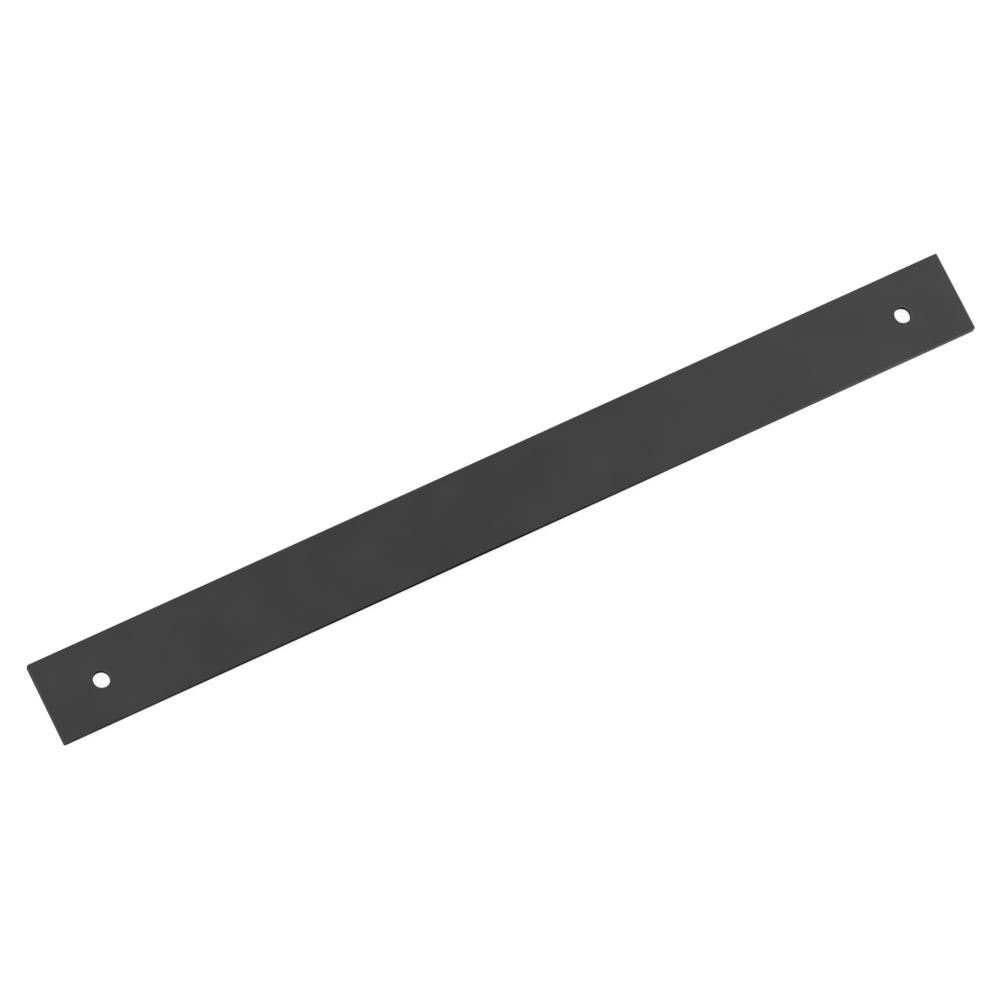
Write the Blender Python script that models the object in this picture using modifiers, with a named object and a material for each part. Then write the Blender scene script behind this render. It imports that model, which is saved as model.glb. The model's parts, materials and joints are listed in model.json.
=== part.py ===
"""Kick plate: one length of flat steel bar, drilled near both ends and powder coated.

The plate lies on its back face. X runs along the bar, Y across it and Z up through its
thickness. The origin is at the middle of the back face, so the bar spans Z = 0 to THICKNESS.
"""

import bmesh
import bpy

# Driving dimensions, in metres.
WIDTH = 0.050
LENGTH = 0.583
THICKNESS = 0.006
HOLE_DIAMETER = 0.0098  # drilled 10 mm, less 0.1 mm of coat all round
HOLE_INSET = 0.035  # from an end of the bar to the centre of its hole
CORNER_RADIUS = 0.0011  # the four upright corners, ground off after sawing
EDGE_RADIUS = 0.0004  # the long and short edges of both faces
RIM_CHAMFER = 0.0003  # the deburred rim of each hole, at both faces

# Worked out from the driving dimensions.
HOLE_RADIUS = HOLE_DIAMETER / 2
HOLE_OFFSET = LENGTH / 2 - HOLE_INSET  # from the middle of the bar to a hole

# How finely round shapes are cut up.
CORNER_SEGMENTS = 8
EDGE_SEGMENTS = 4
HOLE_STEPS = 96

# Edges steeper than this are rounded over and shaded sharp; both in radians.
ROUND_OVER_ANGLE = 0.8
SHARP_ANGLE = 0.6

DRILL_OVERRUN = 0.001  # how far a drill cutter stands out of each face
MERGE_DISTANCE = 0.00001

# Powder coat: near black, satin, and a plastic film and not bare metal.
COAT_COLOUR = (0.056, 0.056, 0.057, 1.0)
COAT_ROUGHNESS = 0.55
COAT_METALLIC = 0.0


def clear_scene():
    for old in list(bpy.data.objects):
        bpy.data.objects.remove(old)


def new_collection(name):
    collection = bpy.data.collections.new(name)
    bpy.context.scene.collection.children.link(collection)
    return collection


def powder_coat():
    material = bpy.data.materials.new("dark_powder_coat")
    material.use_nodes = True
    shader = material.node_tree.nodes["Principled BSDF"]
    shader.inputs["Base Color"].default_value = COAT_COLOUR
    shader.inputs["Roughness"].default_value = COAT_ROUGHNESS
    shader.inputs["Metallic"].default_value = COAT_METALLIC
    return material


def drill(name, x, collection):
    """A turned cutter for one hole: the bore, flared at 45 degrees where it leaves each face."""
    flare_radius = HOLE_RADIUS + RIM_CHAMFER + DRILL_OVERRUN
    top = THICKNESS + DRILL_OVERRUN
    bottom = -DRILL_OVERRUN
    profile = (
        (0.0, top),
        (flare_radius, top),
        (HOLE_RADIUS, THICKNESS - RIM_CHAMFER),
        (HOLE_RADIUS, RIM_CHAMFER),
        (flare_radius, bottom),
        (0.0, bottom),
    )
    mesh = bpy.data.meshes.new(name)
    points = [(radius, 0.0, z) for radius, z in profile]
    steps = [(i, i + 1) for i in range(len(points) - 1)]
    mesh.from_pydata(points, steps, [])
    cutter = bpy.data.objects.new(name, mesh)
    cutter.location.x = x
    cutter.hide_render = True
    cutter.display_type = "WIRE"
    collection.objects.link(cutter)

    turn = cutter.modifiers.new("turn", "SCREW")
    turn.axis = "Z"
    turn.steps = HOLE_STEPS
    turn.render_steps = HOLE_STEPS
    turn.use_merge_vertices = True
    turn.merge_threshold = MERGE_DISTANCE
    return cutter


def bar_blank():
    """The sawn length of bar, its four upright corners rounded."""
    bm = bmesh.new()
    bmesh.ops.create_cube(bm, size=1.0)
    bmesh.ops.scale(bm, vec=(LENGTH, WIDTH, THICKNESS), verts=bm.verts)
    bmesh.ops.translate(bm, vec=(0.0, 0.0, THICKNESS / 2), verts=bm.verts)
    upright = [e for e in bm.edges if abs(e.verts[0].co.z - e.verts[1].co.z) > THICKNESS / 2]
    bmesh.ops.bevel(
        bm,
        geom=upright,
        offset=CORNER_RADIUS,
        segments=CORNER_SEGMENTS,
        profile=0.5,
        affect="EDGES",
    )
    mesh = bpy.data.meshes.new("kick_plate")
    bm.to_mesh(mesh)
    bm.free()
    return mesh


def kick_plate(collection, cutters):
    """The finished plate: blank, then softened edges, then the two holes."""
    mesh = bar_blank()
    mesh.materials.append(powder_coat())
    mesh.shade_smooth()
    mesh.set_sharp_from_angle(angle=SHARP_ANGLE)
    plate = bpy.data.objects.new("kick_plate", mesh)
    collection.objects.link(plate)

    soften = plate.modifiers.new("soften_edges", "BEVEL")
    soften.width = EDGE_RADIUS
    soften.segments = EDGE_SEGMENTS
    soften.limit_method = "ANGLE"
    soften.angle_limit = ROUND_OVER_ANGLE

    for name, x in (("left_drill", -HOLE_OFFSET), ("right_drill", HOLE_OFFSET)):
        hole = plate.modifiers.new(name, "BOOLEAN")
        hole.operation = "DIFFERENCE"
        hole.solver = "EXACT"
        hole.object = drill(name, x, cutters)
    return plate


clear_scene()
kick_plate(new_collection("kick_plate"), new_collection("cutters"))
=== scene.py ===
"""Looks of the kick plate: a fine mesh of the coated bar, its powder coat, and a white studio.

Lengths are in metres, in the CAD model's frame: X runs along the bar, Y across it and Z up out of
its front face. The bar lies on its back face.
"""

import json
import math

import bmesh
import bpy
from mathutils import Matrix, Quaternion, Vector, noise

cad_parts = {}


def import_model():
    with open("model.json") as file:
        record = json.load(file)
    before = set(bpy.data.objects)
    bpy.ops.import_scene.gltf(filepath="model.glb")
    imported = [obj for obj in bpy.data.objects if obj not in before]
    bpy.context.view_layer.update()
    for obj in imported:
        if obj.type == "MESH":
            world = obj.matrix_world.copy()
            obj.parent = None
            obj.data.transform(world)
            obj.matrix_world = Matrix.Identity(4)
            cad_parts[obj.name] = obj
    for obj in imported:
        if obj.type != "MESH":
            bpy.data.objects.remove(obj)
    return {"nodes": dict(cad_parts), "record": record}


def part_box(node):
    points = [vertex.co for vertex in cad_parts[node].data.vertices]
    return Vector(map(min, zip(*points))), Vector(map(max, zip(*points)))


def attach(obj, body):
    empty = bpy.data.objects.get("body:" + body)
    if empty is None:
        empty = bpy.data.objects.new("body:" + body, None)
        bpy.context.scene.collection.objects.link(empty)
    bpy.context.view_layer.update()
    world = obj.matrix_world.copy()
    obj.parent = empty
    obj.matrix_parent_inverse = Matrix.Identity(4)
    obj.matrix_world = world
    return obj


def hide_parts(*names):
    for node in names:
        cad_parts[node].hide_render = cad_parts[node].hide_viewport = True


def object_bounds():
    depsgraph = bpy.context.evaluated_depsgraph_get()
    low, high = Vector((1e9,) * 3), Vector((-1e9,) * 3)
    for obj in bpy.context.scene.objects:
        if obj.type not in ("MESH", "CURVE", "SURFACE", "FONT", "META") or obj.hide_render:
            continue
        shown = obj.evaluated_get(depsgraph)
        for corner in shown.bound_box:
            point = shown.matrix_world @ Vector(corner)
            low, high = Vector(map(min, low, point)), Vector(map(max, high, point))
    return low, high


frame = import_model()
cad_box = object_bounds()

NODE = "kick_plate"

# The bar's edges, as in the CAD model.
CORNER_RADIUS = 0.0011  # its four upright corners
EDGE_RADIUS = 0.0004  # the edges of its two faces
RIM_RADIUS = 0.0003  # the rim of each hole

# How finely the bar is meshed.
ALONG_STEP = 0.0020  # between columns of the plain middle stretch
NEAR_STEP = 0.0015  # between spokes at the bar's edge around a hole
CORNER_STEPS = 10  # around one upright corner
ROUND_STEPS = 6  # over one rounded edge or rim
WALL_ROWS = 4  # up half of a wall
SPOKE_ROWS = 18  # along a spoke, out from a hole's rim
CROSS_ROWS = 16  # from the middle of the face to its long edge
WELD = 1e-6  # points nearer each other than this become one

# The coat's own relief, all of it cut back from the CAD surface.
BEAD_HEIGHT = 0.00004  # the coat gathers in a low bead beside every edge
BEAD_PLACE = 0.0011  # how far in from the edge the bead is highest
BEAD_WIDTH = 0.0007
SWELL_HEIGHT = 0.00003  # slow unevenness of rolled bar
SWELL_LENGTH = 0.045

# Where the coat is marked.
RUB_REACH = 0.0009  # how far from an edge hands and packing rub the coat
END_FACING = 0.95  # the least X that the normal has at a sawn point


def add_object(name, data):
    obj = bpy.data.objects.new(name, data)
    bpy.context.scene.collection.objects.link(obj)
    return obj


def grid(bm, rows):
    """Quads between one row of points and the next."""
    made = [[bm.verts.new(point) for point in row] for row in rows]
    for below, above in zip(made, made[1:]):
        for i in range(len(below) - 1):
            bm.faces.new((below[i], below[i + 1], above[i + 1], above[i]))


def spread(start, end, step):
    """Even numbers from start to end, about a step apart."""
    count = max(1, round(abs(end - start) / step))
    return [start + (end - start) * i / count for i in range(count + 1)]


def edge_profile(radius, half_thickness):
    """(inset, height) pairs from the middle of a wall up and over its rounded edge."""
    wall_height = half_thickness - radius
    wall = spread(0.0, wall_height, wall_height / WALL_ROWS)
    turns = [math.pi / 2 * i / ROUND_STEPS for i in range(1, ROUND_STEPS + 1)]
    bend = [
        (radius * (1 - math.cos(turn)), half_thickness - radius * (1 - math.sin(turn)))
        for turn in turns
    ]
    return [(0.0, height) for height in wall] + bend


class Plate:
    """The bar's sizes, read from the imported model."""

    def __init__(self):
        low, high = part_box(NODE)
        self.centre = (low + high) / 2
        self.half = (high - low) / 2
        openings = frame["record"]["physics"]["openings"]
        middles = [sum(corner[0] for corner in hole["box_m"]) / 2 for hole in openings]
        self.hole_x = max(middles) - self.centre.x
        axis = Vector((self.hole_x, 0.0))
        points = [vertex.co - self.centre for vertex in frame["nodes"][NODE].data.vertices]
        self.hole_radius = min((point.xy - axis).length for point in points)
        self.block_x = self.hole_x - self.half.y  # where the spokes around a hole stop

    def from_outline(self, x, y):
        """How far inside the rounded outline a point of the plan is."""
        side_x = abs(x) - (self.half.x - CORNER_RADIUS)
        side_y = abs(y) - (self.half.y - CORNER_RADIUS)
        outside = math.hypot(max(side_x, 0.0), max(side_y, 0.0))
        return CORNER_RADIUS - outside - min(max(side_x, side_y), 0.0)

    def from_hole(self, x, y):
        """How far a point of the plan is from the wall of the nearer hole."""
        return math.hypot(abs(x) - self.hole_x, y) - self.hole_radius

    def from_edge(self, point):
        """How far a point of the surface is from the nearest edge or rim."""
        inside = min(self.from_outline(point.x, point.y), self.from_hole(point.x, point.y))
        return math.hypot(max(inside, 0.0), self.half.z - abs(point.z))


def outline(plate):
    """Points of a quarter of the outline, end first, each with the way in from the edge."""
    half_x, half_y = plate.half.x, plate.half.y
    stations = [
        (half_x, y, -1.0, 0.0) for y in spread(0.0, half_y - CORNER_RADIUS, NEAR_STEP)
    ]
    for i in range(1, CORNER_STEPS):
        turn = math.pi / 2 * i / CORNER_STEPS
        out_x, out_y = math.cos(turn), math.sin(turn)
        x = half_x - CORNER_RADIUS * (1 - out_x)
        y = half_y - CORNER_RADIUS * (1 - out_y)
        stations.append((x, y, -out_x, -out_y))
    near = spread(half_x - CORNER_RADIUS, plate.block_x, NEAR_STEP)
    far = spread(plate.block_x, 0.0, ALONG_STEP)[1:]
    stations += [(x, half_y, 0.0, -1.0) for x in near]
    around_hole = len(stations)
    stations += [(x, half_y, 0.0, -1.0) for x in far]
    return stations, around_hole, [plate.block_x] + far


def inset_point(station, inset, height):
    x, y, in_x, in_y = station
    return (x + in_x * inset, y + in_y * inset, height)


def spoke_point(plate, way, radius, height):
    """A point beside the hole, out along one spoke from its axis."""
    way_x, way_y = way
    return (plate.hole_x + way_x * radius, way_y * radius, height)


def eighth(plate):
    """One eighth of the bar, with X, Y and Z all positive from its centre."""
    bm = bmesh.new()
    stations, around_hole, columns = outline(plate)
    top = plate.half.z
    across = [
        (plate.half.y - EDGE_RADIUS) * math.cos(math.pi / 2 * i / CROSS_ROWS)
        for i in range(CROSS_ROWS + 1)
    ]

    # Walls and rounded edge of the outline.
    grid(bm, [
        [inset_point(station, inset, height) for station in stations]
        for inset, height in edge_profile(EDGE_RADIUS, top)
    ])

    # Spokes on the face, from the rim of the hole to the outline or to the middle stretch.
    ends = [inset_point(station, EDGE_RADIUS, top) for station in stations[:around_hole]]
    ends += [(plate.block_x, y, top) for y in across[1:]]
    ways, lengths = [], []
    for x, y, _ in ends:
        length = math.hypot(x - plate.hole_x, y)
        ways.append(((x - plate.hole_x) / length, y / length))
        lengths.append(length)
    rim = plate.hole_radius + RIM_RADIUS
    shares = [
        (1 - math.cos(math.pi * i / SPOKE_ROWS)) / 2 for i in range(SPOKE_ROWS + 1)
    ]
    grid(bm, [
        [
            spoke_point(plate, way, rim + (length - rim) * share, top)
            for way, length in zip(ways, lengths)
        ]
        for share in shares
    ])

    # Wall and rounded rim of the hole.
    grid(bm, [
        [spoke_point(plate, way, plate.hole_radius + inset, height) for way in ways]
        for inset, height in edge_profile(RIM_RADIUS, top)
    ])

    # The plain middle stretch of the face.
    grid(bm, [[(x, y, top) for x in columns] for y in across])

    bmesh.ops.remove_doubles(bm, verts=bm.verts, dist=WELD)
    mesh = bpy.data.meshes.new("eighth")
    bm.to_mesh(mesh)
    bm.free()
    return mesh


def whole(mesh):
    """The eighth mirrored in all three directions, as one closed mesh."""
    source = add_object("eighth", mesh)
    mirror = source.modifiers.new("mirror", "MIRROR")
    mirror.use_axis = (True, True, True)
    mirror.merge_threshold = WELD
    depsgraph = bpy.context.evaluated_depsgraph_get()
    full = bpy.data.meshes.new_from_object(source.evaluated_get(depsgraph))
    bpy.data.objects.remove(source)
    bpy.data.meshes.remove(mesh)
    bm = bmesh.new()
    bm.from_mesh(full)
    bmesh.ops.remove_doubles(bm, verts=bm.verts, dist=WELD)
    bmesh.ops.recalc_face_normals(bm, faces=bm.faces)
    bm.to_mesh(full)
    bm.free()
    return full


def bell(distance, middle, width):
    return math.exp(-(((distance - middle) / width) ** 2))


def relief(plate, point):
    """How far the coat stands in from the CAD surface at a point."""
    swell = (noise.noise(point / SWELL_LENGTH) + 1) / 2
    bead = bell(plate.from_edge(point), BEAD_PLACE, BEAD_WIDTH)
    return SWELL_HEIGHT * swell + BEAD_HEIGHT * (1 - bead)


def add_numbers(mesh, name, values):
    attribute = mesh.attributes.new(name, "FLOAT", "POINT")
    attribute.data.foreach_set("value", values)


def coated_bar(plate, material):
    mesh = whole(eighth(plate))
    points = [vertex.co.copy() for vertex in mesh.vertices]
    normals = [vertex.normal.copy() for vertex in mesh.vertices]
    add_numbers(mesh, "rub", [
        max(0.0, 1.0 - plate.from_edge(point) / RUB_REACH) for point in points
    ])
    add_numbers(mesh, "sawn", [
        float(abs(normal.x) > END_FACING and plate.half.x - abs(point.x) < EDGE_RADIUS)
        for point, normal in zip(points, normals)
    ])
    add_numbers(mesh, "bored", [
        float(plate.from_hole(point.x, point.y) < RIM_RADIUS / 2) for point in points
    ])
    for vertex, point, normal in zip(mesh.vertices, points, normals):
        vertex.co = point - normal * relief(plate, point) + plate.centre
    mesh.shade_smooth()
    mesh.materials.append(material)
    return add_object("coated_bar", mesh)


# The powder coat's colours and shine.
COAT_DARK = (0.046, 0.046, 0.047, 1.0)
COAT_LIGHT = (0.055, 0.055, 0.056, 1.0)
COAT_RUBBED = (0.085, 0.085, 0.087, 1.0)
COAT_SPECULAR = 0.22
COAT_ROUGHNESS = (0.56, 0.66)  # where the coat is dark, and where it is light

# Its features, with sizes in metres.
PEEL_SIZE, PEEL_HEIGHT = 0.0018, 0.00006
GRAIN_SIZE, GRAIN_HEIGHT = 0.00045, 0.00002
CLOUD_SIZE = 0.035
CLOUD_SHARE, GRAIN_SHARE = 0.6, 0.4  # of the tone
TONE_SPAN = (0.3, 0.7)  # the tones that are fully dark and fully light
RUBBED_SPAN = (0.42, 0.62)  # the clouds where edges aren't rubbed at all, and fully
RUBBED_PALE = 0.5  # how far a rubbed edge turns to its own colour
RUBBED_POLISH = 0.12  # how much roughness it loses
SAW_PITCH = 0.0006
SAW_LENGTH = 0.02  # of one saw mark, across the end
SAW_HEIGHT = 0.00006
RING_PITCH, RING_HEIGHT = 0.0005, 0.00003
RING_DRIFT = 0.02  # how fast the rings change around a bore, against along it


class Nodes:
    """Short ways to add nodes to one material or sky."""

    def __init__(self, tree):
        self.tree = tree

    def link(self, value, socket):
        """Feeds a socket from another one, or sets it to a constant."""
        if isinstance(value, bpy.types.NodeSocket):
            self.tree.links.new(value, socket)
        else:
            socket.default_value = value

    def noise(self, place, size, detail=2.0, roughness=0.5):
        node = self.tree.nodes.new("ShaderNodeTexNoise")
        self.link(place, node.inputs["Vector"])
        node.inputs["Scale"].default_value = 1 / size
        node.inputs["Detail"].default_value = detail
        node.inputs["Roughness"].default_value = roughness
        return node.outputs["Fac"]

    def stretched(self, place, scale):
        node = self.tree.nodes.new("ShaderNodeMapping")
        self.link(place, node.inputs["Vector"])
        node.inputs["Scale"].default_value = scale
        return node.outputs["Vector"]

    def attribute(self, name):
        node = self.tree.nodes.new("ShaderNodeAttribute")
        node.attribute_name = name
        return node.outputs["Fac"]

    def maths(self, operation, a, b):
        node = self.tree.nodes.new("ShaderNodeMath")
        node.operation = operation
        self.link(a, node.inputs[0])
        self.link(b, node.inputs[1])
        return node.outputs["Value"]

    def ramp(self, value, low, high, to_low=0.0, to_high=1.0):
        node = self.tree.nodes.new("ShaderNodeMapRange")
        self.link(value, node.inputs["Value"])
        node.inputs["From Min"].default_value = low
        node.inputs["From Max"].default_value = high
        node.inputs["To Min"].default_value = to_low
        node.inputs["To Max"].default_value = to_high
        return node.outputs["Result"]

    def mix(self, share, a, b):
        node = self.tree.nodes.new("ShaderNodeMix")
        node.data_type = "RGBA"
        self.link(share, node.inputs["Factor"])
        self.link(a, node.inputs["A"])
        self.link(b, node.inputs["B"])
        return node.outputs["Result"]

    def bump(self, height, metres, normal=None):
        node = self.tree.nodes.new("ShaderNodeBump")
        self.link(height, node.inputs["Height"])
        node.inputs["Distance"].default_value = metres
        if normal is not None:
            self.link(normal, node.inputs["Normal"])
        return node.outputs["Normal"]


def powder_coat():
    """Dark grey satin powder coat: orange peel, fine grain, soft clouds and rubbed edges."""
    material = bpy.data.materials.new("satin_coat")
    material.use_nodes = True
    tree = material.node_tree
    shader = tree.nodes["Principled BSDF"]
    shader.inputs["Metallic"].default_value = 0.0
    shader.inputs["Specular IOR Level"].default_value = COAT_SPECULAR
    nodes = Nodes(tree)
    place = tree.nodes.new("ShaderNodeTexCoord").outputs["Object"]

    peel = nodes.noise(place, PEEL_SIZE)
    grain = nodes.noise(place, GRAIN_SIZE, detail=1.0)
    clouds = nodes.noise(place, CLOUD_SIZE, detail=3.0)
    rubbed = nodes.maths("MULTIPLY", nodes.attribute("rub"), nodes.ramp(clouds, *RUBBED_SPAN))
    tone = nodes.maths(
        "ADD",
        nodes.maths("MULTIPLY", clouds, CLOUD_SHARE),
        nodes.maths("MULTIPLY", grain, GRAIN_SHARE),
    )

    colour = nodes.mix(nodes.ramp(tone, *TONE_SPAN), COAT_DARK, COAT_LIGHT)
    colour = nodes.mix(nodes.maths("MULTIPLY", rubbed, RUBBED_PALE), colour, COAT_RUBBED)
    nodes.link(colour, shader.inputs["Base Color"])

    rough = nodes.ramp(tone, *TONE_SPAN, *COAT_ROUGHNESS)
    rough = nodes.maths("SUBTRACT", rough, nodes.maths("MULTIPLY", rubbed, RUBBED_POLISH))
    nodes.link(rough, shader.inputs["Roughness"])

    normal = nodes.bump(peel, PEEL_HEIGHT)
    normal = nodes.bump(grain, GRAIN_HEIGHT, normal)
    saw_place = nodes.stretched(place, (1.0, SAW_PITCH / SAW_LENGTH, 1.0))
    saw = nodes.maths("MULTIPLY", nodes.noise(saw_place, SAW_PITCH), nodes.attribute("sawn"))
    normal = nodes.bump(saw, SAW_HEIGHT, normal)
    ring_place = nodes.stretched(place, (RING_DRIFT, RING_DRIFT, 1.0))
    rings = nodes.maths("MULTIPLY", nodes.noise(ring_place, RING_PITCH), nodes.attribute("bored"))
    normal = nodes.bump(rings, RING_HEIGHT, normal)
    nodes.link(normal, shader.inputs["Normal"])
    return material


# The studio. Azimuths turn about Z from the -Y side, towards +X; angles are in degrees.
WHITE = (1.0, 1.0, 1.0, 1.0)
FLOOR_SIZE = 120.0
FLOOR_COLOUR = (0.08, 0.08, 0.08, 1.0)
FLOOR_ROUGHNESS = 0.9
FLOOR_GLOW = 0.94
SKY_SPAN = (-0.2, 0.6)  # the heights, as a sine, where the sky starts and stops brightening
SKY_STRENGTH = (0.0, 0.12)
KEY_DISTANCE, KEY_SIZE = 9.0, 3.6
FILL_DISTANCE, FILL_SIZE = 2.5, 0.6
KICKER_DISTANCE, KICKER_SIZE, KICKER_ELEVATION = 0.8, 0.16, 8.0
NO_GRID = 180.0  # the spread of a lamp with no grid on it
VIEW_AZIMUTH, VIEW_ELEVATION, VIEW_ROLL = -48.98, 73.79, 23.37
VIEW_DISTANCE = 3.843
VIEW_LENS, VIEW_SENSOR = 242.94, 36.0  # millimetres
VIEW_AIM = (-0.00566, -0.00113)  # from the bar's centre to where the view's middle meets its face


def direction(azimuth, elevation):
    """The way from the bar to a lamp or to the camera."""
    turn, rise = math.radians(azimuth), math.radians(elevation)
    return Vector((
        math.sin(turn) * math.cos(rise),
        -math.cos(turn) * math.cos(rise),
        math.sin(rise),
    ))


def floor(height):
    """A pale floor that glows by itself and gives the bar no light."""
    mesh = bpy.data.meshes.new("floor")
    bm = bmesh.new()
    bmesh.ops.create_grid(bm, x_segments=1, y_segments=1, size=FLOOR_SIZE / 2)
    bm.to_mesh(mesh)
    bm.free()
    obj = add_object("floor", mesh)
    obj.location.z = height
    material = bpy.data.materials.new("pale_floor")
    material.use_nodes = True
    shader = material.node_tree.nodes["Principled BSDF"]
    shader.inputs["Base Color"].default_value = FLOOR_COLOUR
    shader.inputs["Roughness"].default_value = FLOOR_ROUGHNESS
    shader.inputs["Emission Color"].default_value = WHITE
    shader.inputs["Emission Strength"].default_value = FLOOR_GLOW
    mesh.materials.append(material)
    obj.visible_diffuse = False
    obj.visible_glossy = False


def world():
    """A dim, soft sky that fades to black below the horizon."""
    sky = bpy.data.worlds.new("studio")
    sky.use_nodes = True
    nodes = Nodes(sky.node_tree)
    way = sky.node_tree.nodes.new("ShaderNodeTexCoord").outputs["Generated"]
    apart = sky.node_tree.nodes.new("ShaderNodeSeparateXYZ")
    nodes.link(way, apart.inputs["Vector"])
    back = sky.node_tree.nodes["Background"]
    back.inputs["Color"].default_value = WHITE
    strength = nodes.ramp(apart.outputs["Z"], *SKY_SPAN, *SKY_STRENGTH)
    nodes.link(strength, back.inputs["Strength"])
    bpy.context.scene.world = sky


def softbox(name, azimuth, elevation, distance, size, watts, along=0.0, spread_angle=NO_GRID):
    """A round soft lamp that faces a place along the bar; a narrow spread is a grid on it."""
    lamp = bpy.data.lights.new(name, "AREA")
    lamp.shape = "DISK"
    lamp.size = size
    lamp.spread = math.radians(spread_angle)
    lamp.energy = watts
    obj = add_object(name, lamp)
    way = direction(azimuth, elevation)
    obj.location = Vector((along, 0.0, 0.0)) + way * distance
    obj.rotation_mode = "QUATERNION"
    obj.rotation_quaternion = way.to_track_quat("Z", "Y")
    obj.visible_camera = False
    return obj


def key(name, azimuth, elevation, watts):
    softbox(name, azimuth, elevation, KEY_DISTANCE, KEY_SIZE, watts)


def fill(name, azimuth, elevation, watts):
    softbox(name, azimuth, elevation, FILL_DISTANCE, FILL_SIZE, watts)


def kicker(name, along, spread_angle, watts):
    """A small gridded lamp, low in front of one end, for the long side near it.

    It makes no highlights, because it is so low that the face would glare when seen from behind.
    """
    obj = softbox(
        name, azimuth=0.0, elevation=KICKER_ELEVATION, distance=KICKER_DISTANCE,
        size=KICKER_SIZE, watts=watts, along=along, spread_angle=spread_angle,
    )
    obj.visible_glossy = False


def camera(plate):
    data = bpy.data.cameras.new("camera")
    data.lens = VIEW_LENS
    data.sensor_width = VIEW_SENSOR
    obj = add_object("camera", data)
    back = direction(VIEW_AZIMUTH, VIEW_ELEVATION)
    aim = plate.centre + Vector((*VIEW_AIM, plate.half.z))
    obj.location = aim + back * VIEW_DISTANCE
    obj.rotation_mode = "QUATERNION"
    roll = Quaternion((0.0, 0.0, 1.0), math.radians(VIEW_ROLL))
    obj.rotation_quaternion = back.to_track_quat("Z", "Y") @ roll
    bpy.context.scene.camera = obj


plate = Plate()
bar = coated_bar(plate, powder_coat())
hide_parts(NODE)
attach(bar, "root")

floor(cad_box[0].z)
world()
key("front_key", azimuth=-70.0, elevation=36.0, watts=300.0)
key("rear_key", azimuth=-105.0, elevation=28.0, watts=680.0)
fill("rear_fill", azimuth=145.0, elevation=15.0, watts=15.0)
fill("right_fill", azimuth=100.0, elevation=20.0, watts=18.0)
kicker("right_kicker", along=0.30, spread_angle=40.0, watts=0.6)
kicker("left_kicker", along=-0.36, spread_angle=35.0, watts=0.18)
camera(plate)
bpy.context.scene.view_settings.view_transform = "Standard"
